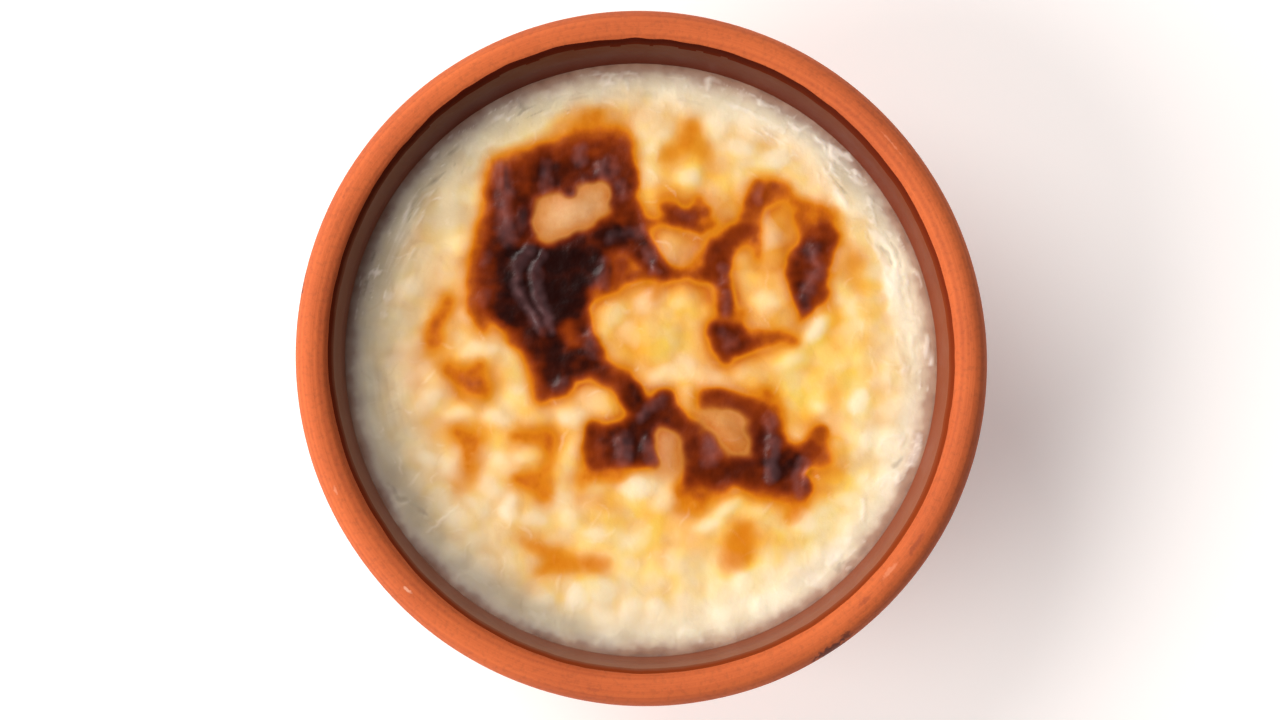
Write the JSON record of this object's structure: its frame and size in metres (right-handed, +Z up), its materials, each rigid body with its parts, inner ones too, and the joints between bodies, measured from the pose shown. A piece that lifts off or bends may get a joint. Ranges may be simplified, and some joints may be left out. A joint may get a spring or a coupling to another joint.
{
  "type": "rice pudding",
  "caption": "Oven-browned rice pudding with a scorched milk skin, in the round clay bowl it was baked in, with a bare terracotta rim and a glazed inside.",
  "frame": {"origin": "on the table, under the middle of the bowl's flat foot", "axes": "+Z up out of the bowl's mouth; +X to the right and +Y away from an eater who has the largest scorched patch at the far left"},
  "size_m": [0.1196, 0.1204, 0.052],
  "materials": {
    "terracotta": "matte",
    "clear_glaze": "gloss",
    "milk_pudding": "satin"
  },
  "bodies": {
    "root": {"bowl": "terracotta", "pudding": "milk_pudding"}
  },
  "joints": []
}
